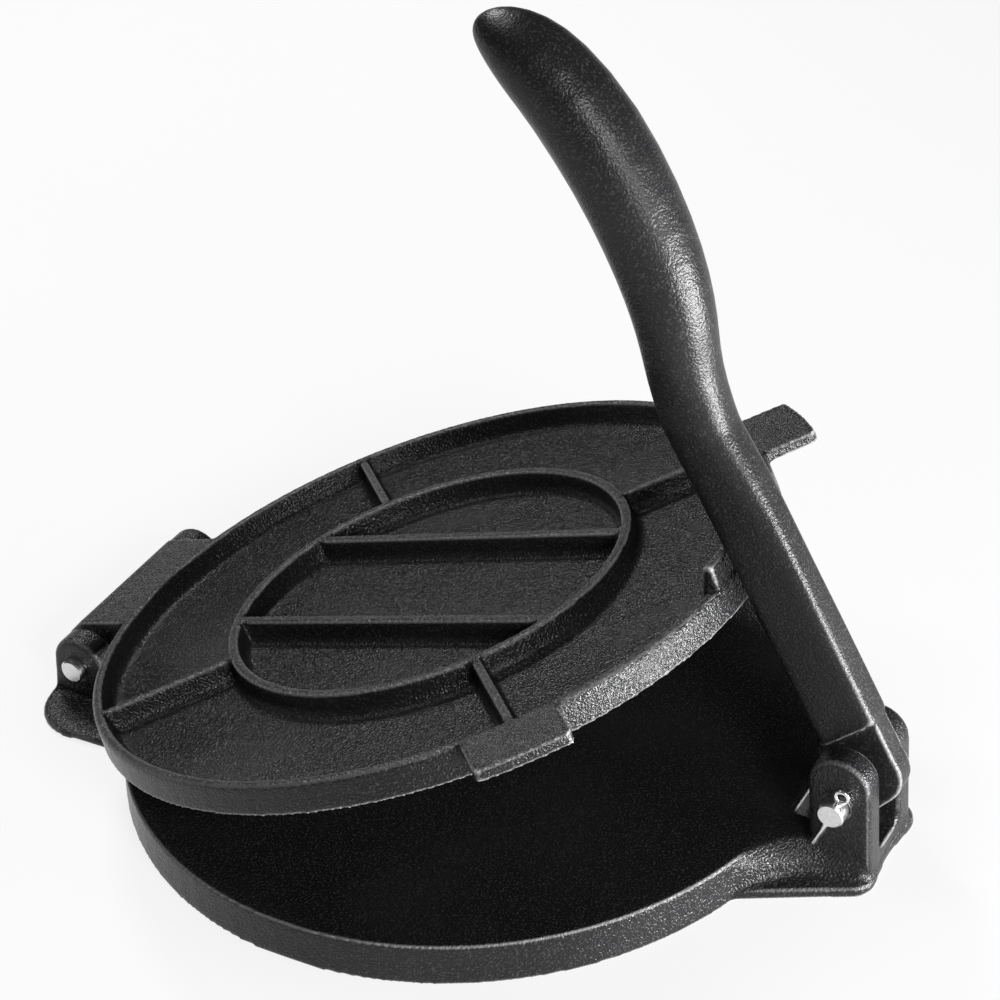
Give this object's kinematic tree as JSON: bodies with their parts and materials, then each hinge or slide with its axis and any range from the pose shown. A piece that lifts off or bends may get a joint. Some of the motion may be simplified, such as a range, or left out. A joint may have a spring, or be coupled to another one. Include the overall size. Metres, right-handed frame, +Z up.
{
  "type": "tortilla press",
  "caption": "Cast iron tortilla press: a round base plate, a hinged ribbed lid and a leaning lever that bears on the lid's rim.",
  "frame": {"origin": "middle of the round base plate, on the surface it stands on", "axes": "+Z up; +X from the lid's hinge to the lever's clevis; +Y from the near side to the far side, along both hinge pins"},
  "size_m": [0.3271, 0.256, 0.2896],
  "materials": {
    "cast_iron_base": "seasoned black, satin, fine cast grain",
    "cast_iron_lid": "seasoned black, satin, fine cast grain",
    "cast_iron_lever": "seasoned black, satin, fine cast grain",
    "steel_pins": "plain steel rod, cut ends",
    "steel_split_pins": "zinc plated steel wire"
  },
  "bodies": {
    "base": {"base_casting": "cast_iron_base", "hinge_pin": "steel_pins", "pivot_pin": "steel_pins", "split_pin_near": "steel_split_pins", "split_pin_far": "steel_split_pins"},
    "lid": {"lid_casting": "cast_iron_lid"},
    "lever": {"lever_casting": "cast_iron_lever"}
  },
  "joints": [
    {"name": "lid_hinge", "type": "hinge", "parent": "base", "child": "lid", "pos_m": [-0.1495, 0, 0.014], "axis": [0, -1, 0], "range_deg": [-16.6, 161.4]},
    {"name": "lever_hinge", "type": "hinge", "parent": "base", "child": "lever", "pos_m": [0.1482, 0, 0.0315], "axis": [0, 1, 0], "range_deg": [0, 112]}
  ]
}
